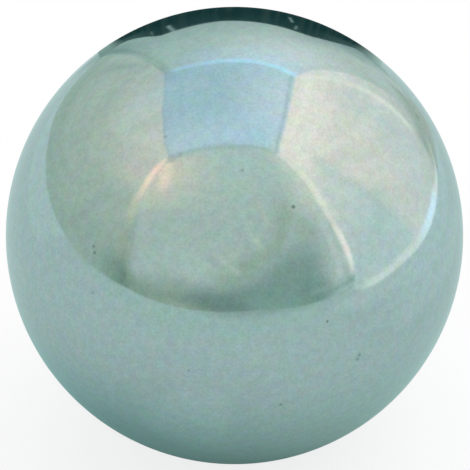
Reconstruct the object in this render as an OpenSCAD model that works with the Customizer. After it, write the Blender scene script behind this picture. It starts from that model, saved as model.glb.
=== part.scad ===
// Solid steel ball, ground and lapped all over to one plain sphere.
// The origin is the centre of the ball, and +Z is up.

/* [Ball] */
// Diameter of the ball
ball_d = 25; // [3:0.5:100]

/* [Hidden] */
// Segments round the equator when the sphere is drawn as a mesh
ball_segments = 180;
// Pale grey of polished bearing steel
steel_colour = [0.80, 0.83, 0.83];

// The whole part: it has no flat, hole, seam or core
module ball() {
    color(steel_colour)
        sphere(d = ball_d, $fn = ball_segments);
}

ball();
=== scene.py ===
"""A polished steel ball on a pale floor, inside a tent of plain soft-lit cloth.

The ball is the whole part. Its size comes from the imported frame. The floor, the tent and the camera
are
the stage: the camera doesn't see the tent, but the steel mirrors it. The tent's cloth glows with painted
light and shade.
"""

import math

import bpy
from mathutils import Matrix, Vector


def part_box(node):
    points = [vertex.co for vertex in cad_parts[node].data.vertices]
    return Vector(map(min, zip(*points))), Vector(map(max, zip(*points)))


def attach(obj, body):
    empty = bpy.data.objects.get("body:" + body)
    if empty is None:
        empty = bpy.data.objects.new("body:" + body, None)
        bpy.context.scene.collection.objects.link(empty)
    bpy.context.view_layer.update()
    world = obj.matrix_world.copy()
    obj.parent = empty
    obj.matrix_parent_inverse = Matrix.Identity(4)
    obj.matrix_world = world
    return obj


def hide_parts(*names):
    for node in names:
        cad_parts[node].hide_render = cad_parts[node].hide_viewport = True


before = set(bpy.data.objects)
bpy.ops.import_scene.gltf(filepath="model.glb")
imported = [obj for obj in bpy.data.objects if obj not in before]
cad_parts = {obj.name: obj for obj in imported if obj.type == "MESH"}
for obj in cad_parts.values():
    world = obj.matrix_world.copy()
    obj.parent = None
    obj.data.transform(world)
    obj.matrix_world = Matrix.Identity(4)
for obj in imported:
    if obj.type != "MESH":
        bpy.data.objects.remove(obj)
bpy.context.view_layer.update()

bl_info = {
    "name": "Steel ball",
    "version": (1, 0, 0),
    "blender": (4, 5, 0),
    "location": "View3D > Sidebar > Steel ball",
    "description": "Makes a polished steel ball and the small studio that it is shown in",
    "category": "Object",
}

# The ball

BALL_LOW, BALL_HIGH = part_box("ball")
BALL_RADIUS = (BALL_HIGH.z - BALL_LOW.z) / 2
MM = 0.001
WELD_DISTANCE = 1e-7  # m, within which the six sides of the ball's mesh are joined

# The picture and the camera

PICTURE_WIDTH = 470
BALL_IN_PICTURE = (234.5, 235.5)  # centre of the ball's outline, in pixels
OUTLINE_RADIUS = 228.7  # radius of the ball's outline, in pixels
CAMERA_RISE = math.radians(34)
CAMERA_REACH = 20  # distance from the ball's centre, in ball radii
SENSOR_WIDTH = 36  # mm
CAMERA_SIGHT = 100  # m, as far as it sees

# Specks of dust: longitude and latitude on the ball in degrees, with longitude 0 towards
# the camera's side and 90 to the right, then the speck's width in mm and how dark it is.

SPECKS = {
    "largest": (18.6, 39.6, 0.20, 0.70),
    "crown": (3.0, 49.7, 0.20, 0.30),
    "crown_left": (-30.9, 55.7, 0.24, 0.30),
    "brow": (-21.6, 52.3, 0.24, 0.22),
    "brow_smudge": (-24.6, 50.8, 0.42, 0.18),
    "temple_right": (90.0, 38.1, 0.35, 0.35),
    "cheek_upper": (-40.5, 24.3, 0.20, 0.40),
    "cheek_lower": (-39.7, 23.0, 0.20, 0.50),
    "jaw_left": (-37.9, 13.2, 0.18, 0.30),
    "jaw_right": (23.3, 10.1, 0.16, 0.50),
    "smear_upper": (31.9, -2.1, 0.22, 0.35),
    "smear_lower": (31.4, -3.2, 0.24, 0.35),
    "chin_left": (-11.1, -1.3, 0.16, 0.35),
    "chin_right": (11.5, -12.5, 0.18, 0.45),
}

SPECK_CORE = 0.15  # a speck is at its darkest out to here, in widths from its middle
SPECK_EDGE = 0.75  # and has faded out by here
SPECK_COLOUR = (0.05, 0.08, 0.075)

# Noise in the steel, in features to a mm:

GREEN_SCALE = 1.6
BLUE_SCALE = 1.9
CLOUD_SCALE = 2.2
GRAIN_SCALE = 7.5
HAZE_SCALE = 0.18
RIPPLE_SCALE = 2.5

# What that noise and the specks do to the steel:

GREEN_CAST = (-0.7, 0.5, -0.6)  # how its red, green and blue change, in units of the mottle
BLUE_CAST = (-0.5, 0.0, 0.75)
CLOUDS_TO_GRAIN = 0.6  # contrast of the clouds, as a share of the grain's
HAZE_DULLING = 0.02  # the most that each adds to the roughness
GRAIN_DULLING = 0.01
SPECK_DULLING = 0.4

# The tent, in ball radii from the ball's centre. Its four corners at the top:

TOP_BACK_LEFT = (-5.1, 7.5, 9.0)
TOP_BACK_RIGHT = (4.2, 6.2, 8.95)
TOP_FRONT_RIGHT = (3.3, -2.45, 9.0)
TOP_FRONT_LEFT = (-5.2, -2.35, 9.0)

# Where the ceiling meets the walls, between those corners:

CEILING_BACK = [TOP_BACK_LEFT, (-2.8, 7.0, 9.0), (0.0, 6.9, 9.0), (2.3, 6.8, 9.0), TOP_BACK_RIGHT]
CEILING_FRONT = [TOP_FRONT_LEFT, (-2.3, -2.1, 9.0), (0.3, -2.04, 9.0), (1.6, -2.1, 9.0), TOP_FRONT_RIGHT]
CEILING_LEFT = [TOP_FRONT_LEFT, (-5.25, -0.5, 9.0), (-5.05, 2.3, 9.0), (-4.9, 4.8, 9.0), TOP_BACK_LEFT]
CEILING_RIGHT = [TOP_FRONT_RIGHT, (3.3, -1.4, 9.0), (3.6, 1.1, 9.0), (3.85, 3.5, 9.0), TOP_BACK_RIGHT]

# Where the cloth of two walls meets, from the floor up to the top corner:

SEAM_BACK_LEFT = [(-3.7, 10.3, -1.0), (-4.5, 10.5, 1.4), (-5.1, 9.7, 5.0), TOP_BACK_LEFT]
SEAM_BACK_RIGHT = [
    (5.8, 7.3, -1.0),
    (5.9, 7.6, 1.2),
    (6.0, 8.0, 2.8),
    (5.7, 8.0, 5.0),
    (4.9, 7.4, 7.3),
    TOP_BACK_RIGHT,
]
SEAM_FRONT_LEFT = [
    (-19.0, -15.3, -1.0),
    (-21.1, -16.0, 1.4),
    (-18.9, -13.3, 4.3),
    (-15.2, -9.3, 7.2),
    (-10.6, -5.7, 8.4),
    (-7.3, -3.5, 8.7),
    TOP_FRONT_LEFT,
]
SEAM_FRONT_RIGHT = [
    (17.1, -10.5, -1.0),
    (14.8, -8.8, 1.8),
    (12.4, -7.6, 4.2),
    (9.9, -6.5, 6.0),
    (6.9, -4.5, 7.8),
    TOP_FRONT_RIGHT,
]

# Where each wall stands on the floor, from the back or the left to the front or the right:

FOOT_LEFT = [
    SEAM_BACK_LEFT[0],
    (-6.0, 10.0, -1.0),
    (-12.0, 14.0, -1.0),
    (-21.0, 19.5, -1.0),
    (-38.0, 24.0, -1.0),
    (-55.0, 20.0, -1.0),
    (-52.0, 5.0, -1.0),
    (-34.0, -4.0, -1.0),
    (-27.5, -10.0, -1.0),
    SEAM_FRONT_LEFT[0],
]
FOOT_RIGHT = [
    SEAM_BACK_RIGHT[0],
    (5.8, 5.6, -1.0),
    (6.0, 4.4, -1.0),
    (6.42, 3.45, -1.0),
    (6.62, 2.3, -1.0),
    (6.95, 1.15, -1.0),
    (7.45, 0.05, -1.0),
    (8.05, -1.2, -1.0),
    (7.9, -2.4, -1.0),
    (7.8, -3.6, -1.0),
    (8.6, -5.2, -1.0),
    (13.0, -8.4, -1.0),
    SEAM_FRONT_RIGHT[0],
]
FOOT_FRONT = [
    SEAM_FRONT_LEFT[0],
    (-12.5, -14.5, -1.0),
    (-6.0, -15.6, -1.0),
    (-1.0, -18.0, -1.0),
    (3.0, -20.5, -1.0),
    (6.3, -18.0, -1.0),
    (8.0, -13.2, -1.0),
    (10.5, -11.2, -1.0),
    SEAM_FRONT_RIGHT[0],
]
FOOT_BACK = [SEAM_BACK_LEFT[0], SEAM_BACK_RIGHT[0]]

# The dark card behind the ball: its foot, and its edge from the left end over the top to the right end

CARD_FOOT = [(-0.71, 3.2, -1.0), (0.80, 3.2, -1.0)]
CARD_TOP = [
    (-1.54, 3.2, 0.30),
    (-1.45, 3.2, 0.38),
    (-1.33, 3.2, 0.37),
    (-1.22, 3.2, 0.42),
    (-1.19, 3.2, 0.87),
    (-1.14, 3.2, 1.37),
    (-1.03, 3.2, 1.47),
    (-0.67, 3.2, 1.50),
    (-0.2, 3.2, 1.45),
    (0.3, 3.2, 1.475),
    (0.73, 3.2, 1.49),
    (1.0, 3.2, 1.48),
    (1.17, 3.2, 1.39),
    (1.33, 3.2, 1.04),
    (1.37, 3.2, 0.70),
    (1.36, 3.2, 0.38),
    (1.42, 3.2, 0.28),
    (1.55, 3.2, 0.26),
    (1.59, 3.2, 0.06),
]
CARD_LEFT = [CARD_FOOT[0], CARD_TOP[0]]
CARD_RIGHT = [CARD_FOOT[-1], CARD_TOP[-1]]

# The cloth. On each wall u runs along the floor, from the back or the left to the front or
# the right, and v runs up from the floor. On the ceiling u runs from left to right and v from
# front to back. A colour is the light that leaves the cloth, and 1 is white.

CLOTH_STEPS = 48  # faces along each side of a panel
PLEATS_TO_A_RADIAN = 9.0  # seen from the corner of the wall that they fan out from
PLEAT_CONTRAST = 0.08  # how much lighter the painted light is on one side of a pleat than on the other
CORNER_SHADE = (0.50, 0.62, 0.55)  # painted shade at the foot of the tent's back right corner, on the cloth and on the floor
FOLD_REACH = (0.022, 0.035)  # of each fold in the front's middle, in u and v

# Soft marks on the cloth: for each, one point or a line of points in u and v, then its reach
# to either side along u and along v, its strength and its colour. Later ones cover earlier ones.

LEFT_MARKS = {
    "warm_top": ([(0.92, 0.88)], (0.3, 0.16), 0.8, (0.86, 0.85, 0.76)),
    "olive_edge": ([(1.0, 0.4)], (0.07, 0.25), 0.7, (0.50, 0.55, 0.43)),
    "dull_middle": ([(0.78, 0.38)], (0.25, 0.3), 0.5, (0.455, 0.59, 0.53)),
    "warm_edge": ([(0.99, 0.8), (0.99, 0.66)], (0.035, 0.06), 0.7, (0.86, 0.85, 0.68)),
    "dark_foot": ([(0.99, 0.0), (0.99, 0.12)], (0.022, 0.08), 0.7, (0.22, 0.35, 0.30)),
    "pale_hem": ([(0.6, 0.95)], (0.1, 0.1), 0.5, (0.62, 0.76, 0.63)),
}
FRONT_MARKS = {
    "pale_left": ([(0.38, 0.36)], (0.17, 0.15), 0.5, (0.65, 0.82, 0.77)),
    "pale_upper": ([(0.62, 0.67)], (0.1, 0.08), 0.4, (0.66, 0.86, 0.79)),
    "dark_middle": ([(0.585, 0.42)], (0.08, 0.06), 0.5, (0.39, 0.55, 0.45)),
    "dark_lower_left": ([(0.31, 0.19)], (0.12, 0.11), 0.5, (0.36, 0.51, 0.43)),
    # Each fold is a painted highlight, most with a strip of painted shade beside it
    "fold_lower": ([(0.47, 0.45), (0.51, 0.41), (0.55, 0.35)], FOLD_REACH, 0.5, (0.72, 0.82, 0.72)),
    "fold_lower_shade": ([(0.445, 0.41), (0.485, 0.37)], FOLD_REACH, 0.5, (0.42, 0.57, 0.50)),
    "fold_middle": ([(0.61, 0.60), (0.65, 0.51)], FOLD_REACH, 0.5, (0.74, 0.84, 0.77)),
    "fold_middle_shade": ([(0.60, 0.54), (0.62, 0.47)], FOLD_REACH, 0.5, (0.44, 0.58, 0.51)),
    "fold_upper_shade": ([(0.62, 0.68), (0.67, 0.63)], FOLD_REACH, 0.5, (0.44, 0.58, 0.53)),
    "fold_upper": ([(0.67, 0.71), (0.70, 0.62)], FOLD_REACH, 0.5, (0.72, 0.80, 0.70)),
    "fold_right": ([(0.82, 0.55), (0.79, 0.48), (0.75, 0.42)], FOLD_REACH, 0.5, (0.58, 0.72, 0.73)),
}
FRONT_STRIPE_MARKS = {
    "dull_side": ([(0.85, 0.5)], (0.05, 0.13), 0.6, (0.42, 0.58, 0.48)),
    "stripe": ([(0.937, 0.62), (0.927, 0.35), (0.925, 0.2)], (0.033, 0.1), 1.0, (0.74, 0.86, 0.82)),
    "dip": ([(0.938, 0.40), (0.936, 0.23), (0.944, 0.14)], (0.012, 0.05), 0.4, (0.56, 0.71, 0.66)),
    "haze": ([(0.975, 0.46), (0.97, 0.38), (0.967, 0.26)], (0.02, 0.06), 0.6, (0.93, 1.01, 0.95)),
}
FRONT_FOOT_MARKS = {
    "pale_left": ([(0.285, 0.02)], (0.11, 0.05), 0.7, (0.48, 0.58, 0.47)),
    "pale_right": ([(0.85, 0.085)], (0.06, 0.04), 0.8, (0.43, 0.62, 0.56)),
    # Painted shade in the foot's right corner and along a crease there
    "dull_corner": ([(1.0, 0.05)], (0.11, 0.13), 0.9, (0.37, 0.54, 0.49)),
    "crease_shade": ([(0.86, 0.04), (0.93, 0.055), (1.0, 0.075)], (0.04, 0.03), 0.7, (0.35, 0.52, 0.49)),
}
BACK_EDGE_MARKS = {
    "pale_edge": ([(0.99, 0.9), (0.97, 0.5)], (0.06, 0.1), 0.5, (0.76, 0.82, 0.74)),
    # Painted shade low on the back's right, beside the card
    "dark_foot": ([(0.70, 0.05)], (0.14, 0.5), 1.0, (0.31, 0.465, 0.45)),
}
# Painted shade in the back's lower right corner
BACK_CORNER_MARKS = {
    "dull_left": ([(0.78, 0.17)], (0.06, 0.09), 0.6, (0.40, 0.56, 0.49)),
    "dull_middle": ([(0.90, 0.07)], (0.025, 0.04), 0.7, (0.43, 0.58, 0.50)),
    "dull_right": ([(0.95, 0.0)], (0.025, 0.03), 0.9, (0.36, 0.46, 0.39)),
}

WEAVE_SCALE = 40.0  # threads across the card
LINT = (0.44, 0.66, 0.62)
CARD_MARKS = {
    "plain_black": ([(0.463, 0.75)], (0.05, 0.35), 0.8, (0.010, 0.044, 0.040)),
    "lint_left": ([(0.297, 0.77), (0.303, 0.87), (0.312, 1.0)], (0.012, 0.03), 0.6, LINT),
    "lint_middle": ([(0.629, 0.56), (0.637, 0.72)], (0.007, 0.04), 0.48, LINT),
    "lint_right": ([(0.652, 0.83), (0.65, 0.93)], (0.008, 0.03), 0.42, LINT),
    "lint_far_left": ([(0.225, 0.82), (0.227, 0.93)], (0.012, 0.04), 0.24, LINT),
}

# The floor and the light

FLOOR_HALF_WIDTH = 2.0  # m
LIT_LIFT = 1.09  # how much lighter the floor is where more light falls on it
WHITE = (1.0, 1.0, 1.0)
OVERHEAD_FROM = (0.35, 0.4, 1.0)  # direction towards the broad light above
OVERHEAD_BREADTH = math.radians(80)

# The Mix node's sockets for colours, which share their names with its sockets for numbers

MIX_FACTOR = 0
MIX_FIRST = 6
MIX_SECOND = 7
MIX_RESULT = 2


# Node trees


class Wire:
    """A node's socket that Python's operators work on: each one adds its Math node."""

    def __init__(self, nodes, socket):
        self.nodes = nodes
        self.socket = socket

    def __add__(self, other):
        return self.nodes.maths("ADD", self, other)

    def __sub__(self, other):
        return self.nodes.maths("SUBTRACT", self, other)

    def __rsub__(self, other):
        return self.nodes.maths("SUBTRACT", other, self)

    def __mul__(self, other):
        return self.nodes.maths("MULTIPLY", self, other)

    def __truediv__(self, other):
        return self.nodes.maths("DIVIDE", self, other)

    def __rtruediv__(self, other):
        return self.nodes.maths("DIVIDE", other, self)

    __radd__ = __add__
    __rmul__ = __mul__

    def clipped(self):
        """The value held between 0 and 1."""
        return self.nodes.maths("ADD", self, 0.0, clamp=True)

    def eased(self, start, end):
        """0 at start, 1 at end and a smooth rise between them."""
        settings = {"interpolation_type": "SMOOTHSTEP", "clamp": True}
        inputs = {"Value": self, "From Min": start, "From Max": end}
        return self.nodes.add("ShaderNodeMapRange", settings, inputs)


class Nodes:
    """Adds nodes to a tree and links them."""

    def __init__(self, tree):
        self.tree = tree
        tree.nodes.clear()

    def add(self, kind, settings=None, inputs=None, output=0):
        """Adds a node, makes its settings, fills its sockets and returns one output."""
        node = self.tree.nodes.new(kind)
        for name, value in (settings or {}).items():
            setattr(node, name, value)
        for name, value in (inputs or {}).items():
            self.fill(node.inputs[name], value)
        return Wire(self, node.outputs[output]) if node.outputs else node

    def outputs(self, names, kind, inputs=None):
        """Adds a node and returns all its outputs with those names."""
        node = self.add(kind, {}, inputs).socket.node
        return [Wire(self, node.outputs[name]) for name in names]

    def fill(self, socket, value):
        """Links a wire to the socket, or gives the socket a plain value."""
        if isinstance(value, Wire):
            self.tree.links.new(value.socket, socket)
        else:
            socket.default_value = value

    def maths(self, operation, *values, clamp=False):
        """A Math node on those values."""
        settings = {"operation": operation, "use_clamp": clamp}
        return self.add("ShaderNodeMath", settings, dict(enumerate(values)))

    def vector(self, operation, *values):
        """A Vector Math node on those values. It returns the number where the operation makes one."""
        makes_number = operation in {"DISTANCE", "DOT_PRODUCT", "LENGTH"}
        inputs = dict(enumerate(values))
        return self.add("ShaderNodeVectorMath", {"operation": operation}, inputs, int(makes_number))

    def scale(self, vector, factor):
        """The vector or colour times a number."""
        return self.add("ShaderNodeVectorMath", {"operation": "SCALE"}, {0: vector, "Scale": factor})

    def mix(self, factor, first, second):
        """first where factor is 0 and second where it is 1, as colours."""
        settings = {"data_type": "RGBA", "clamp_factor": True}
        inputs = {MIX_FACTOR: factor, MIX_FIRST: colour(first), MIX_SECOND: colour(second)}
        return self.add("ShaderNodeMix", settings, inputs, MIX_RESULT)

    def noise(self, place, scale, detail=1.0):
        """Soft noise from 0 to 1 with that many features to a unit of place."""
        return self.add("ShaderNodeTexNoise", {}, {"Vector": place, "Scale": scale, "Detail": detail})


class Coat:
    """Paint that is built up in layers over a surface. u and v say where on it a point is."""

    def __init__(self, nodes, u, v):
        self.nodes = nodes
        self.u = u
        self.v = v
        self.tone = None

    def blend(self, factor, first, second):
        """A colour that runs from first to second as factor goes from 0 to 1."""
        return self.nodes.mix(factor, first, second)

    def layer(self, mask, tone):
        """Covers the paint with the tone where the mask is 1."""
        self.tone = self.nodes.mix(mask, self.tone, tone)

    def mark(self, points, reach, strength, tone):
        """Adds a soft mark of that tone along the line through the points."""
        self.layer(self.stroke(points, reach) * strength, tone)

    def mark_all(self, marks):
        """Adds each of the named marks, in their order."""
        for mark in marks.values():
            self.mark(*mark)

    def stroke(self, points, reach):
        """A mask that is 1 on the line through the points, or at the one point, and falls softly
        to 0 at reach to either side, which is (along u, along v)."""
        nodes = self.nodes
        here = nodes.add("ShaderNodeCombineXYZ", {}, {"X": self.u / reach[0], "Y": self.v / reach[1]})
        ends = [Vector((u / reach[0], v / reach[1], 0)) for u, v in points]
        gap = None
        for start, end in zip(ends, ends[1:] or ends):
            run = end - start
            from_start = nodes.vector("SUBTRACT", here, start)
            share = nodes.vector("DOT_PRODUCT", from_start, run / (run.length_squared or 1)).clipped()
            distance = nodes.vector("DISTANCE", from_start, nodes.scale(run, share))
            gap = nodes.maths("MINIMUM", gap, distance) if gap else distance
        return gap.eased(1.0, 0.0)


def colour(value):
    """A colour of three numbers as the four that a socket takes. A wire stays as it is."""
    return value if isinstance(value, Wire) else (*value, 1.0)


def new_material(name):
    """A material with an empty node tree, and what adds nodes to it."""
    material = bpy.data.materials.new(name)
    material.use_nodes = True
    return material, Nodes(material.node_tree)


# The steel


def on_ball(longitude, latitude):
    """The point of the ball's surface there, in mm."""
    a = math.radians(longitude)
    b = math.radians(latitude)
    outwards = Vector((math.sin(a) * math.cos(b), -math.cos(a) * math.cos(b), math.sin(b)))
    return outwards * (BALL_RADIUS / MM)


def speck_mask(nodes, place):
    """How dark the specks of dust make the steel, from 0 where it is clean."""
    mask = 0.0
    for longitude, latitude, width, darkness in SPECKS.values():
        distance = nodes.vector("DISTANCE", place, on_ball(longitude, latitude))
        speck = distance.eased(SPECK_EDGE * width, SPECK_CORE * width) * darkness
        mask = nodes.maths("MAXIMUM", mask, speck)
    return mask


def mottled(nodes, place, settings):
    """The bare steel's colour, which wanders from violet to green and from amber to blue."""
    greenish = nodes.noise(place, GREEN_SCALE, 3.0).eased(0.7, 0.3)
    bluish = nodes.noise(place, BLUE_SCALE, 3.0).eased(0.3, 0.7)
    steel = Vector(settings.steel)
    plain = Vector(WHITE)
    green = Vector(GREEN_CAST) * settings.mottle
    blue = Vector(BLUE_CAST) * settings.mottle
    first = nodes.mix(greenish, steel * (plain - green), steel * (plain + green))
    second = nodes.mix(bluish, plain - blue, plain + blue)
    return nodes.vector("MULTIPLY", first, second)


def steel_material(settings):
    """Lapped bearing steel: a near mirror, with faint mottling, haze and a few specks of dust."""
    material, nodes = new_material("polished_steel")
    place = nodes.scale(nodes.add("ShaderNodeTexCoord", output="Object"), 1 / MM)
    specks = speck_mask(nodes, place)
    clouds = nodes.noise(place, CLOUD_SCALE).eased(0.25, 0.75)
    grain = nodes.noise(place, GRAIN_SCALE).eased(0.2, 0.8)
    haze = nodes.noise(place, HAZE_SCALE, 3.0).eased(0.35, 0.7)
    ripple = nodes.noise(place, RIPPLE_SCALE, 2.0)

    cloudiness = settings.grain * CLOUDS_TO_GRAIN
    shade = (grain - 0.5) * settings.grain + (clouds - 0.5) * cloudiness + 1.0
    clean = nodes.scale(mottled(nodes, place, settings), shade)
    roughness = settings.polish + haze * HAZE_DULLING + grain * GRAIN_DULLING + specks * SPECK_DULLING
    relief = {"Height": ripple, "Strength": 1.0, "Distance": settings.ripple * MM}
    inputs = {
        "Base Color": nodes.mix(specks, clean, SPECK_COLOUR),
        "Metallic": 1.0,
        "Roughness": roughness,
        "Normal": nodes.add("ShaderNodeBump", {}, relief),
    }
    shader = nodes.add("ShaderNodeBsdfPrincipled", {}, inputs)
    nodes.add("ShaderNodeOutputMaterial", {}, {"Surface": shader})
    return material


# The ball's mesh


def ball_tree():
    """Geometry Nodes that blow a cube's grid of faces out to a sphere, with even faces and no poles."""
    tree = bpy.data.node_groups.new("round_ball", "GeometryNodeTree")
    sockets = {"Radius": "Float", "Divisions": "Int", "Steel": "Material"}
    for name, kind in sockets.items():
        tree.interface.new_socket(name=name, in_out="INPUT", socket_type="NodeSocket" + kind)
    tree.interface.new_socket(name="Ball", in_out="OUTPUT", socket_type="NodeSocketGeometry")
    nodes = Nodes(tree)
    radius, divisions, steel = nodes.outputs(sockets, "NodeGroupInput")
    count = divisions + 1
    sides = {"Size": (2.0, 2.0, 2.0), "Vertices X": count, "Vertices Y": count, "Vertices Z": count}
    cube = nodes.add("GeometryNodeMeshCube", {}, sides)
    on_side = nodes.outputs("XYZ", "ShaderNodeSeparateXYZ", {0: nodes.add("GeometryNodeInputPosition")})
    even = [nodes.maths("TANGENT", side * (math.pi / 4)) for side in on_side]
    spread = nodes.add("ShaderNodeCombineXYZ", {}, dict(zip("XYZ", even)))
    place = nodes.scale(nodes.vector("NORMALIZE", spread), radius)
    ball = nodes.add("GeometryNodeSetPosition", {}, {"Geometry": cube, "Position": place})
    ball = nodes.add("GeometryNodeMergeByDistance", {}, {"Geometry": ball, "Distance": WELD_DISTANCE})
    ball = nodes.add("GeometryNodeSetShadeSmooth", {}, {"Geometry": ball, "Shade Smooth": True})
    ball = nodes.add("GeometryNodeRealizeInstances", {}, {"Geometry": ball})
    ball = nodes.add("GeometryNodeSetMaterial", {}, {"Geometry": ball, "Material": steel})
    nodes.add("NodeGroupOutput", {}, {"Ball": ball})
    return tree


def new_object(name, data):
    """An object with that mesh, light or camera, in the scene."""
    ob = bpy.data.objects.new(name, data)
    bpy.context.scene.collection.objects.link(ob)
    return ob


def plain_mesh(name, tree, values):
    """An object with the plain mesh that the tree makes with those values of its inputs."""
    ob = new_object(name, bpy.data.meshes.new(name))
    modifier = ob.modifiers.new("shape", "NODES")
    modifier.node_group = tree
    for item in tree.interface.items_tree:
        if item.in_out == "INPUT":
            modifier[item.identifier] = values[item.name]
    evaluated = ob.evaluated_get(bpy.context.evaluated_depsgraph_get())
    mesh = bpy.data.meshes.new_from_object(evaluated)
    ob.modifiers.remove(modifier)
    ob.data = mesh
    return ob


def make_ball(settings):
    """The whole part: a plain steel sphere about the origin."""
    steel = steel_material(settings)
    values = {"Radius": settings.radius, "Divisions": settings.divisions, "Steel": steel}
    ball = plain_mesh("steel_ball", ball_tree(), values)
    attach(ball, "root")
    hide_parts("ball")
    return ball


# The stage's cloth


def smooth_curve(points):
    """A function of 0 to 1 that runs smoothly through the points, at an even pace."""
    line = [Vector(p) for p in points]
    ends = [line[0] * 2 - line[1], *line, line[-1] * 2 - line[-2]]
    lengths = [0.0]
    for a, b in zip(line, line[1:]):
        lengths.append(lengths[-1] + (b - a).length)

    def at(share):
        """The point that far along, on a Catmull-Rom curve."""
        along = share * lengths[-1]
        i = max(k for k in range(len(line) - 1) if lengths[k] <= along or k == 0)
        t = (along - lengths[i]) / (lengths[i + 1] - lengths[i])
        before, a, b, after = ends[i : i + 4]
        bend = (before * -1 + a * 3 - b * 3 + after) * t**3
        turn = (before * 2 - a * 5 + b * 4 - after) * t**2
        return (bend + turn + (b - before) * t + a * 2) * 0.5

    return at


def stretched(foot, head, start, end):
    """A function of (u, v) for cloth stretched between four curves: foot at v = 0, head at v = 1,
    start at u = 0 and end at u = 1."""
    foot, head, start, end = (smooth_curve(points) for points in (foot, head, start, end))

    def at(u, v):
        """The point there, on a Coons patch."""
        between = foot(u) * (1 - v) + head(u) * v + start(v) * (1 - u) + end(v) * u
        corners = (foot(0) * (1 - u) + foot(1) * u) * (1 - v) + (head(0) * (1 - u) + head(1) * u) * v
        return between - corners

    return at


def only_mirrored(ob):
    """Lets nothing but the steel's mirror image show this stage piece."""
    ob.visible_camera = False
    ob.visible_diffuse = False
    ob.visible_shadow = False


def cloth_panel(name, surface, material):
    """A panel of cloth over surface(u, v), with u and v as its UV map."""
    steps = [i / CLOTH_STEPS for i in range(CLOTH_STEPS + 1)]
    row = len(steps)
    points = [surface(u, v) * BALL_RADIUS for v in steps for u in steps]
    first_corners = [j * row + i for j in range(CLOTH_STEPS) for i in range(CLOTH_STEPS)]
    faces = [(i, i + 1, i + row + 1, i + row) for i in first_corners]
    mesh = bpy.data.meshes.new(name)
    mesh.from_pydata(points, [], faces)
    uv = mesh.uv_layers.new(name="cloth")
    for loop in mesh.loops:
        v, u = divmod(loop.vertex_index, row)
        uv.data[loop.index].uv = (u / CLOTH_STEPS, v / CLOTH_STEPS)
    mesh.materials.append(material)
    mesh.polygons.foreach_set("use_smooth", [True] * len(mesh.polygons))
    panel = new_object(name, mesh)
    only_mirrored(panel)


def glowing_material(name, paint):
    """Cloth that glows with painted light, as if lit through from outside. paint(coat) lays down the
    colours that leave it.
    """
    material, nodes = new_material(name)
    uv = nodes.add("ShaderNodeUVMap", {"uv_map": "cloth"})
    coat = Coat(nodes, *nodes.outputs("XY", "ShaderNodeSeparateXYZ", {0: uv}))
    paint(coat)
    light = nodes.add("ShaderNodeEmission", {}, {"Color": coat.tone, "Strength": 1.0})
    nodes.add("ShaderNodeOutputMaterial", {}, {"Surface": light})
    return material


# The cloth's paint


def pleat(coat):
    """Adds the painted light and shade of faint pleats that fan out from the wall's top front corner."""
    nodes = coat.nodes
    angle = nodes.maths("ARCTAN2", 1.0 - coat.v, 1.0 - coat.u)
    across = nodes.add("ShaderNodeCombineXYZ", {}, {"X": angle})
    pleats = nodes.noise(across, PLEATS_TO_A_RADIAN).eased(0.3, 0.7)
    coat.tone = nodes.scale(coat.tone, (pleats - 0.5) * PLEAT_CONTRAST + 1.0)


def ceiling_seam_light(coat, closeness):
    """Adds the painted bright blue line of light between the ceiling and the back."""
    light = coat.blend(coat.u.eased(0.0, 0.9), (0.58, 0.88, 1.08), (0.78, 1.24, 1.48))
    coat.layer(closeness * coat.u.eased(0.02, 0.15), light)


def left_seam_glow(coat, closeness):
    """Adds the warm light that leaks through the front left seam, strongest near the ceiling."""
    v = coat.v
    coat.layer(closeness * v.eased(0.5, 0.66) * 0.5, (0.78, 0.82, 0.64))
    coat.layer(closeness * v.eased(0.7, 0.9) * v.eased(1.0, 0.97), (1.50, 1.14, 0.90))


def right_seam_glow(coat, closeness):
    """Adds the light that leaks through the front right seam, with a gap above its pink lower end."""
    v = coat.v
    light = coat.blend(v.eased(0.7, 0.58), (1.16, 1.15, 1.01), (1.24, 1.21, 1.08))
    light = coat.blend(v.eased(0.5, 0.42), light, (1.40, 1.23, 1.19))
    light = coat.blend(v.eased(0.3, 0.15), light, (1.10, 1.16, 1.10))
    gap = coat.nodes.maths("ABSOLUTE", v - 0.58).eased(0.08, 0.0) * 0.5
    coat.layer(closeness * v.eased(0.06, 0.2) * (1.0 - gap), light)


def ceiling_paint(coat):
    """Pale blue, lighter to the right, with a painted line of bright light along the back and painted
    shade along the edges.
    """
    u, v = coat.u, coat.v
    coat.tone = coat.blend(u.eased(0.4, 1.0), (0.56, 0.80, 0.89), (0.845, 1.02, 1.10))
    front = coat.blend(u, (0.72, 0.90, 0.95), (0.66, 0.96, 1.13))
    coat.layer(v.eased(0.42, 0.08), front)
    coat.mark([(1.0, 0.04)], (0.2, 0.3), 1.0, (0.84, 0.98, 0.95))
    back = coat.blend(u, (0.44, 0.68, 0.78), (0.70, 0.99, 1.09))

    # Painted shade along the edges: the front, the back with its left corner, the left and the right
    coat.layer(v.eased(0.035, 0.0) * 0.6, (0.52, 0.76, 0.79))
    coat.layer(v.eased(0.7, 0.9) * 0.6, back)
    coat.mark([(0.02, 0.97)], (0.09, 0.12), 0.7, (0.46, 0.64, 0.68))
    coat.layer(u.eased(0.035, 0.005) * 0.7, (0.44, 0.64, 0.68))
    coat.mark([(0.975, 0.05), (0.965, 0.95)], (0.028, 0.1), 0.7, (0.54, 0.72, 0.74))
    ceiling_seam_light(coat, v.eased(0.965, 0.985))


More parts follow.
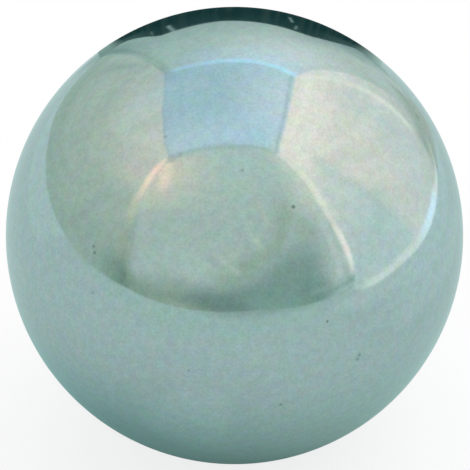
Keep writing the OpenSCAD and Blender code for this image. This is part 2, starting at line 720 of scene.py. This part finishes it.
def left_paint(coat):
    """Grey green, paler near the ceiling and darker down at its front."""
    u, v = coat.u, coat.v
    coat.tone = coat.blend(v.eased(0.1, 0.8), (0.455, 0.61, 0.535), (0.55, 0.69, 0.60))
    coat.layer(v.eased(0.74, 0.94), (0.67, 0.77, 0.68))
    top = coat.blend(u.eased(0.3, 0.8), (0.76, 0.88, 0.86), (0.87, 0.91, 0.82))
    coat.layer(v.eased(0.88, 0.98), top)
    coat.layer(u.eased(0.4, 0.05) * v.eased(0.05, 0.6) * 0.6, (0.63, 0.75, 0.69))

    # The back seam: a line of painted shade, then its paler edge, and painted shade in the corner at the
    # foot
    coat.mark([(0.017, 0.28), (0.017, 0.62)], (0.014, 0.08), 0.8, (0.46, 0.61, 0.55))
    edge = coat.blend(v.eased(0.1, 0.6), (0.47, 0.64, 0.57), (0.62, 0.77, 0.70))
    coat.layer(u.eased(0.01, 0.0) * v.eased(0.8, 0.6), edge)
    coat.layer(u.eased(0.006, 0.0) * v.eased(0.06, 0.01), (0.29, 0.44, 0.42))

    # The front: dark low down and warm high up
    coat.layer(u.eased(0.86, 1.0) * v.eased(0.45, 0.15), (0.27, 0.43, 0.35))
    coat.mark_all(LEFT_MARKS)
    pleat(coat)
    left_seam_glow(coat, u.eased(0.97, 0.99) + u.eased(0.96, 0.985) * v.eased(0.85, 0.95))


def right_paint(coat):
    """Warm cream above a slanting edge and cool grey below it, with painted lines of bright light at the
    back seam and along the foot.
    """
    u, v = coat.u, coat.v
    warm = coat.blend(v.eased(0.0, 0.6), (0.87, 0.94, 0.88), (1.06, 1.05, 0.95))
    coat.tone = coat.blend(v.eased(0.6, 0.85), warm, (1.24, 1.18, 1.06))
    coat.mark([(0.2, 0.15), (0.2, 0.5)], (0.14, 0.3), 0.6, (0.82, 0.96, 0.96))
    cool = coat.blend(v.eased(0.15, 0.7), (0.69, 0.87, 0.85), (0.92, 0.99, 0.92))
    slanting_edge = v * 0.52 + 0.278
    coat.layer((u - slanting_edge).eased(-0.02, 0.03) * v.eased(0.9, 0.7), cool)
    coat.mark([(0.47, 0.28)], (0.07, 0.12), 0.5, (0.60, 0.82, 0.71))

    # The back seam, with a painted line of bright light beside it
    corner = coat.blend(v.eased(0.1, 0.8), (0.76, 0.85, 0.79), (1.13, 1.14, 1.07))
    coat.layer(u.eased(0.1, 0.05) * v.eased(0.97, 0.85), corner)
    coat.layer(u.eased(0.22, 0.1) * v.eased(0.25, 0.1), (0.74, 0.83, 0.77))
    coat.mark([(0.10, 0.2), (0.09, 0.85)], (0.03, 0.1), 0.6, (1.26, 1.26, 1.14))

    pleat(coat)
    by_front = u.eased(0.95, 0.985) + u.eased(0.91, 0.95) * v.eased(0.52, 0.62) * 0.5
    right_seam_glow(coat, by_front.clipped())
    right_foot(coat)


def right_foot(coat):
    """Adds the right wall's foot: painted shade in the back corner and at the front end, and a painted
    band of light along the floor, seen through the gap under the wall.
    """
    u, v = coat.u, coat.v
    # Painted shade in the back corner with a paler strip at the floor, then painted shade at the front
    # end
    coat.layer(v.eased(0.15, 0.055) * u.eased(0.125, 0.08), CORNER_SHADE)
    coat.layer(v.eased(0.05, 0.01) * u.eased(0.02, 0.06) * u.eased(0.12, 0.09), (0.64, 0.76, 0.66))
    coat.mark([(0.8, 0.055), (1.0, 0.07)], (0.09, 0.04), 0.7, (0.40, 0.57, 0.53))
    # A painted band of light along the floor, seen through the gap under the wall
    foot_light = coat.blend(u.eased(0.15, 0.3), (1.03, 1.15, 1.07), (0.93, 1.07, 1.0))
    foot_light = coat.blend(u.eased(0.145, 0.195) * u.eased(0.32, 0.22), foot_light, (1.01, 1.31, 1.44))
    width = u.eased(0.1, 0.2) * 0.03 + 0.009
    near_foot = (v / width).eased(1.4, 0.8)
    coat.layer(near_foot * u.eased(0.065, 0.10) * u.eased(0.56, 0.50), foot_light)


def front_paint(coat):
    """Dull grey green, with painted shade along the floor, darker low on the right, and a painted warm
    haze of light at the top left.
    """
    u, v = coat.u, coat.v
    front_middle(coat)
    front_foot(coat)

    # The pale cloth beside the right seam
    coat.layer(u.eased(0.84, 0.92) * v.eased(0.62, 0.5) * v.eased(0.0, 0.15), (0.60, 0.75, 0.70))
    coat.mark_all(FRONT_STRIPE_MARKS)

    # The foot again, with painted shade in its right corner and a paler line at its right end
    coat.mark_all(FRONT_FOOT_MARKS)
    coat.layer(v.eased(0.042, 0.02) * u.eased(0.82, 0.92), (0.56, 0.77, 0.75))

    # The top edge, and the seams
    front_top_left(coat)
    coat.layer(v.eased(0.975, 0.99) * 0.6, (0.48, 0.66, 0.63))
    right_seam_glow(coat, u.eased(0.962, 0.985) + u.eased(0.95, 0.98) * v.eased(0.55, 0.75))


def front_middle(coat):
    """Lays the front wall's plain cloth, then its painted warm haze of light, its dark lower right and
    the painted highlights and shade of its folds.
    """
    u, v = coat.u, coat.v
    coat.tone = coat.blend(v.eased(0.6, 0.95), (0.585, 0.735, 0.68), (0.645, 0.825, 0.77))
    coat.layer(u.eased(0.14, 0.0) * v.eased(0.75, 0.55), (0.46, 0.61, 0.52))
    # A painted warm haze of light at the top left
    haze = coat.stroke([(0.17, 0.87)], (0.39, 0.32))
    coat.layer(haze * v.eased(1.0, 0.93), (0.94, 0.92, 0.76))
    coat.layer(u.eased(0.76, 0.97) * v.eased(0.45, 0.72), (0.88, 0.96, 0.83))
    olive_band = [(0.78, 0.62), (0.76, 0.52), (0.70, 0.45), (0.6, 0.40), (0.5, 0.29)]
    coat.mark(olive_band, (0.09, 0.09), 0.85, (0.48, 0.63, 0.51))

    # The dark lower right, whose top slants up to the right and then runs level
    dark_top = coat.nodes.maths("MINIMUM", u * 0.7 - 0.1, 0.42)
    dark = coat.blend(v.eased(0.3, 0.1), (0.325, 0.485, 0.44), (0.285, 0.45, 0.405))
    coat.layer((v - dark_top).eased(0.12, -0.14) * u.eased(0.3, 0.42) * u.eased(0.92, 0.8), dark)
    coat.mark_all(FRONT_MARKS)


def front_foot(coat):
    """Adds painted shade along the front wall's foot, and in its left corner."""
    u, v = coat.u, coat.v
    right = coat.blend(u.eased(0.74, 0.83), (0.31, 0.495, 0.45), (0.265, 0.43, 0.385))
    foot = coat.blend(u.eased(0.25, 0.41), (0.365, 0.51, 0.425), (0.245, 0.385, 0.34))
    foot = coat.blend(u.eased(0.5, 0.62), foot, right)
    coat.layer(v.eased(0.25, 0.06) * u.eased(0.93, 0.86), foot)
    coat.layer(u.eased(0.12, 0.0) * v.eased(0.33, 0.05), (0.31, 0.455, 0.385))


def front_top_left(coat):
    """Adds the warm light that leaks in at the front wall's top left corner."""
    u, v = coat.u, coat.v
    coat.mark([(0.07, 0.92)], (0.13, 0.12), 0.7, (1.16, 0.91, 0.76))
    leak = coat.stroke([(0.10, 0.935), (0.14, 0.885), (0.17, 0.84), (0.19, 0.79)], (0.066, 0.06))
    coat.layer(leak * v.eased(0.7, 0.88) * 0.85, (1.36, 1.07, 0.86))
    left_seam_glow(coat, u.eased(0.038, 0.014))
    coat.mark([(0.11, 1.0)], (0.16, 0.06), 0.9, (0.59, 0.69, 0.57))


def back_paint(coat):
    """Pale grey, greener at its left and bluer near the ceiling."""
    u, v = coat.u, coat.v
    low = coat.blend(u.eased(0.35, 0.9), (0.43, 0.60, 0.565), (0.66, 0.79, 0.735))
    high = coat.blend(u.eased(0.2, 0.9), (0.555, 0.765, 0.70), (0.90, 1.01, 1.0))
    coat.tone = coat.blend(v.eased(0.3, 0.75), low, high)
    bluer = coat.blend(u.eased(0.2, 0.8), (0.60, 0.80, 0.85), (0.84, 1.03, 1.13))
    coat.layer(v.eased(0.7, 0.92) * u.eased(0.08, 0.3), bluer)

    # The left seam, in painted shade that deepens towards the floor
    coat.layer(u.eased(0.1, 0.04) * v.eased(0.0, 0.9), (0.47, 0.645, 0.58))
    coat.layer(u.eased(0.14, 0.05) * v.eased(0.5, 0.05), (0.31, 0.47, 0.44))
    seam = coat.blend(v.eased(0.2, 0.55), (0.24, 0.38, 0.35), (0.38, 0.54, 0.50))
    coat.mark([(0.028, 0.08), (0.028, 0.35), (0.035, 0.62)], (0.024, 0.08), 0.7, seam)

    # The right edge, and painted shade at its foot and in the corner
    coat.mark_all(BACK_EDGE_MARKS)
    coat.layer(u.eased(0.82, 0.89) * v.eased(0.16, 0.05), CORNER_SHADE)
    coat.mark_all(BACK_CORNER_MARKS)
    ceiling_seam_light(coat, v.eased(0.955, 0.98))


def card_paint(coat):
    """Near black with a green cast, paler towards its ends, with a few bits of lint near the top."""
    u, v = coat.u, coat.v
    nodes = coat.nodes
    coat.tone = coat.blend(v.eased(0.5, 1.0), (0.009, 0.042, 0.042), (0.021, 0.068, 0.068))
    across = nodes.add("ShaderNodeCombineXYZ", {}, {"X": u})
    weave = nodes.noise(across, WEAVE_SCALE).eased(0.4, 0.8)
    coat.layer(weave * 0.08, (0.30, 0.42, 0.36))
    coat.layer((u.eased(0.25, 0.12) + u.eased(0.68, 0.85)) * v.eased(0.65, 0.85), (0.05, 0.11, 0.105))
    coat.mark_all(CARD_MARKS)
    ends = coat.blend(u, (0.245, 0.39, 0.355), (0.46, 0.64, 0.58))
    coat.layer(u.eased(0.085, 0.03) + u.eased(0.88, 1.02), ends)


def make_tent():
    """Five panels of cloth round the ball, and the dark card behind it."""
    panels = {
        "ceiling": (ceiling_paint, CEILING_FRONT, CEILING_BACK, CEILING_LEFT, CEILING_RIGHT),
        "left": (left_paint, FOOT_LEFT, CEILING_LEFT[::-1], SEAM_BACK_LEFT, SEAM_FRONT_LEFT),
        "right": (right_paint, FOOT_RIGHT, CEILING_RIGHT[::-1], SEAM_BACK_RIGHT, SEAM_FRONT_RIGHT),
        "front": (front_paint, FOOT_FRONT, CEILING_FRONT, SEAM_FRONT_LEFT, SEAM_FRONT_RIGHT),
        "back": (back_paint, FOOT_BACK, CEILING_BACK, SEAM_BACK_LEFT, SEAM_BACK_RIGHT),
        "card": (card_paint, CARD_FOOT, CARD_TOP, CARD_LEFT, CARD_RIGHT),
    }
    for name, (paint, *curves) in panels.items():
        cloth_panel("tent_" + name, stretched(*curves), glowing_material("tent_" + name, paint))


# The floor, the light and the camera


def floor_in_steel(nodes, settings):
    """The floor's colour in the steel, with painted light and shade, laid out in ball radii from the
    ball's centre.
    """
    from_centre = nodes.scale(nodes.add("ShaderNodeTexCoord", output="Object"), 1 / BALL_RADIUS)
    x, y = nodes.outputs("XY", "ShaderNodeSeparateXYZ", {0: from_centre})
    floor = Coat(nodes, x, y)
    floor.tone = floor.blend(y.eased(-3.0, -5.5), settings.floor, (0.505, 0.71, 0.665))
    floor.layer(y.eased(-8.0, -15.0) * x.eased(-5.0, -1.0), (0.40, 0.56, 0.525))
    # Painted shade near the ball, greened by light from the steel and darker on the left
    beside_ball = floor.blend(x.eased(-1.2, 0.6), settings.floor_left, settings.floor_right)
    floor.layer(nodes.vector("LENGTH", from_centre).eased(2.0, 1.0), beside_ball)
    # Painted shade in the back right corner
    floor.layer((x - y * 0.4).eased(0.6, 1.3) * y.eased(4.1, 4.9), CORNER_SHADE)

    # The card's shade on the floor behind it, which widens away from the ball
    slant = x / y
    behind_card = floor.blend(x.eased(-1.5, 1.5), (0.40, 0.545, 0.515), (0.49, 0.65, 0.62))
    floor.layer(y.eased(4.6, 5.6) * slant.eased(-0.45, -0.33) * slant.eased(0.39, 0.34), behind_card)

    # Painted light on the floor along the right wall
    floor.layer(x.eased(3.6, 5.4) * y.eased(-6.2, -4.6) * y.eased(0.6, -0.6), (0.60, 0.77, 0.755))
    floor.layer(x.eased(2.6, 4.2) * y.eased(-2.2, 0.4) * y.eased(5.1, 4.2), (0.61, 0.80, 0.80))

    # Where more light falls on the floor: far to the left, to the right and just before the ball
    lit = x.eased(-4.0, -5.8) * y.eased(0.6, 1.8)
    lit = lit + x.eased(2.0, 2.5) * x.eased(3.6, 2.8) * y.eased(-1.2, -0.4) * y.eased(2.4, 1.5)
    lit = lit + x.eased(-0.8, -0.5) * x.eased(0.05, -0.15) * y.eased(-1.9, -1.4) * y.eased(-0.6, -0.8)
    floor.layer(lit, nodes.scale(floor.tone, LIT_LIFT))
    return floor.tone


def floor_material(settings):
    """A matt floor in the ball's shadow: nearly white to the camera, and dimmer in the steel."""
    material, nodes = new_material("pale_floor")
    camera = nodes.add("ShaderNodeLightPath", output="Is Camera Ray")
    tone = nodes.mix(camera, floor_in_steel(nodes, settings), WHITE)
    matt_inputs = {"Base Color": tone, "Roughness": 1.0, "Specular IOR Level": 0.0}
    matt = nodes.add("ShaderNodeBsdfPrincipled", {}, matt_inputs)
    white = nodes.add("ShaderNodeEmission", {}, {"Color": colour(WHITE), "Strength": 1.0})
    surface = nodes.add("ShaderNodeMixShader", {}, {0: camera * settings.whiteness, 1: matt, 2: white})
    nodes.add("ShaderNodeOutputMaterial", {}, {"Surface": surface})
    return material


def make_floor(settings):
    """A square of floor under the ball, out past the tent's walls."""
    sides = ((-1, -1), (1, -1), (1, 1), (-1, 1))
    corners = [(x * FLOOR_HALF_WIDTH, y * FLOOR_HALF_WIDTH, -BALL_RADIUS) for x, y in sides]
    mesh = bpy.data.meshes.new("floor")
    mesh.from_pydata(corners, [], [(0, 1, 2, 3)])
    mesh.materials.append(floor_material(settings))
    new_object("floor", mesh)


def make_world(settings):
    """White behind the floor for the camera and the steel, and a plain even light for all else."""
    world = bpy.data.worlds.new("studio")
    bpy.context.scene.world = world
    world.use_nodes = True
    nodes = Nodes(world.node_tree)
    seen = ("Is Camera Ray", "Is Glossy Ray", "Is Transmission Ray")
    camera, mirrored, through = nodes.outputs(seen, "ShaderNodeLightPath")
    even = 1 - settings.overhead
    tone = nodes.mix(camera + mirrored + through, (even, even, even), WHITE)
    sky = nodes.add("ShaderNodeBackground", {}, {"Color": tone, "Strength": 1.0})
    nodes.add("ShaderNodeOutputWorld", {}, {"Surface": sky})


def make_overhead_light(settings):
    """A broad soft light from above, which the steel doesn't mirror. With the world it lights
    the open floor at a level of 1."""
    data = bpy.data.lights.new("overhead", "SUN")
    light = new_object("overhead", data)
    towards = Vector(OVERHEAD_FROM).normalized()
    light.rotation_euler = towards.to_track_quat("Z", "Y").to_euler()
    data.angle = OVERHEAD_BREADTH
    data.energy = math.pi * settings.overhead / towards.z
    light.visible_camera = False
    light.visible_glossy = False


def make_camera():
    """Puts the ball's outline where the picture has it."""
    data = bpy.data.cameras.new("camera")
    camera = new_object("camera", data)
    away = Vector((0, -math.cos(CAMERA_RISE), math.sin(CAMERA_RISE)))
    camera.location = away * BALL_RADIUS * CAMERA_REACH
    camera.rotation_euler = (-away).to_track_quat("-Z", "Y").to_euler()
    focal_pixels = OUTLINE_RADIUS * math.sqrt(CAMERA_REACH**2 - 1)
    data.sensor_width = SENSOR_WIDTH
    data.lens = SENSOR_WIDTH * focal_pixels / PICTURE_WIDTH
    data.shift_x = (PICTURE_WIDTH / 2 - BALL_IN_PICTURE[0]) / PICTURE_WIDTH
    data.shift_y = (BALL_IN_PICTURE[1] - PICTURE_WIDTH / 2) / PICTURE_WIDTH
    data.clip_start = BALL_RADIUS
    data.clip_end = CAMERA_SIGHT
    bpy.context.scene.camera = camera


# The add-on


class SteelBallSettings(bpy.types.PropertyGroup):
    """Sizes and finish of the ball."""

    radius: bpy.props.FloatProperty(
        name="Radius", description="Radius of the ball", default=BALL_RADIUS, min=0.001, unit="LENGTH"
    )
    divisions: bpy.props.IntProperty(
        name="Divisions",
        description="Faces along each edge of the cube that the ball is blown from",
        default=120,
    )
    steel: bpy.props.FloatVectorProperty(
        name="Steel",
        description="Colour of the bare steel",
        default=(0.565, 0.622, 0.622),
        subtype="COLOR",
    )
    polish: bpy.props.FloatProperty(
        name="Polish", description="Roughness of the cleanest steel", default=0.06, subtype="FACTOR"
    )
    mottle: bpy.props.FloatProperty(
        name="Mottle", description="How far the steel's tint wanders", default=0.055, subtype="FACTOR"
    )
    grain: bpy.props.FloatProperty(
        name="Grain", description="How dark the finest grain is", default=0.135, subtype="FACTOR"
    )
    ripple: bpy.props.FloatProperty(
        name="Ripple", description="Height of the ripples left by lapping, in mm", default=0.0002
    )


class StageSettings(bpy.types.PropertyGroup):
    """Tones of the floor and the light."""

    floor: bpy.props.FloatVectorProperty(
        name="Floor",
        description="Colour of the floor in the steel",
        default=(0.535, 0.70, 0.69),
        subtype="COLOR",
    )
    floor_left: bpy.props.FloatVectorProperty(
        name="Floor at the left",
        description="Colour of the floor beside the ball on its left, greened by light from the steel",
        default=(0.40, 0.72, 0.70),
        subtype="COLOR",
    )
    floor_right: bpy.props.FloatVectorProperty(
        name="Floor at the right",
        description="Colour of the floor beside the ball on its right, greened by light from the steel",
        default=(0.51, 0.745, 0.70),
        subtype="COLOR",
    )
    whiteness: bpy.props.FloatProperty(
        name="Whiteness",
        description="How much of the ball's shadow is hidden from the camera",
        default=0.8,
        subtype="FACTOR",
    )
    overhead: bpy.props.FloatProperty(
        name="Overhead",
        description="Share of the light that comes from above",
        default=0.3,
        subtype="FACTOR",
    )


class MakeSteelBall(bpy.types.Operator):
    """Makes the ball in polished steel."""

    bl_idname = "steel_ball.make_ball"
    bl_label = "Make ball"

    def execute(self, context):
        """Makes the ball with the scene's settings."""
        make_ball(context.scene.steel_ball)
        return {"FINISHED"}


class MakeStage(bpy.types.Operator):
    """Makes the floor, the tent, the world, the light and the camera."""

    bl_idname = "steel_ball.make_stage"
    bl_label = "Make stage"

    def execute(self, context):
        """Makes each part of the stage with the scene's settings."""
        settings = context.scene.steel_ball_stage
        make_floor(settings)
        make_tent()
        make_world(settings)
        make_overhead_light(settings)
        make_camera()
        return {"FINISHED"}


class SteelBallPanel(bpy.types.Panel):
    """Lists the settings of the ball and the stage, and what can be made."""

    bl_idname = "VIEW3D_PT_steel_ball"
    bl_label = "Steel ball"
    bl_space_type = "VIEW_3D"
    bl_region_type = "UI"
    bl_category = "Steel ball"

    def draw(self, context):
        """Draws the settings, then the buttons."""
        for settings in (context.scene.steel_ball, context.scene.steel_ball_stage):
            for name in settings.__annotations__:
                self.layout.prop(settings, name)
        for operator in (MakeSteelBall, MakeStage):
            self.layout.operator(operator.bl_idname)


CLASSES = (SteelBallSettings, StageSettings, MakeSteelBall, MakeStage, SteelBallPanel)


def register():
    """Adds the classes, and the settings to every scene."""
    for cls in CLASSES:
        bpy.utils.register_class(cls)
    bpy.types.Scene.steel_ball = bpy.props.PointerProperty(type=SteelBallSettings)
    bpy.types.Scene.steel_ball_stage = bpy.props.PointerProperty(type=StageSettings)


def unregister():
    """Takes away what register added."""
    del bpy.types.Scene.steel_ball_stage
    del bpy.types.Scene.steel_ball
    for cls in reversed(CLASSES):
        bpy.utils.unregister_class(cls)


def main():
    """Makes everything."""
    register()
    scene = bpy.context.scene
    scene.view_settings.view_transform = "Standard"
    bpy.ops.steel_ball.make_stage()
    bpy.ops.steel_ball.make_ball()


if __name__ == "__main__":
    main()
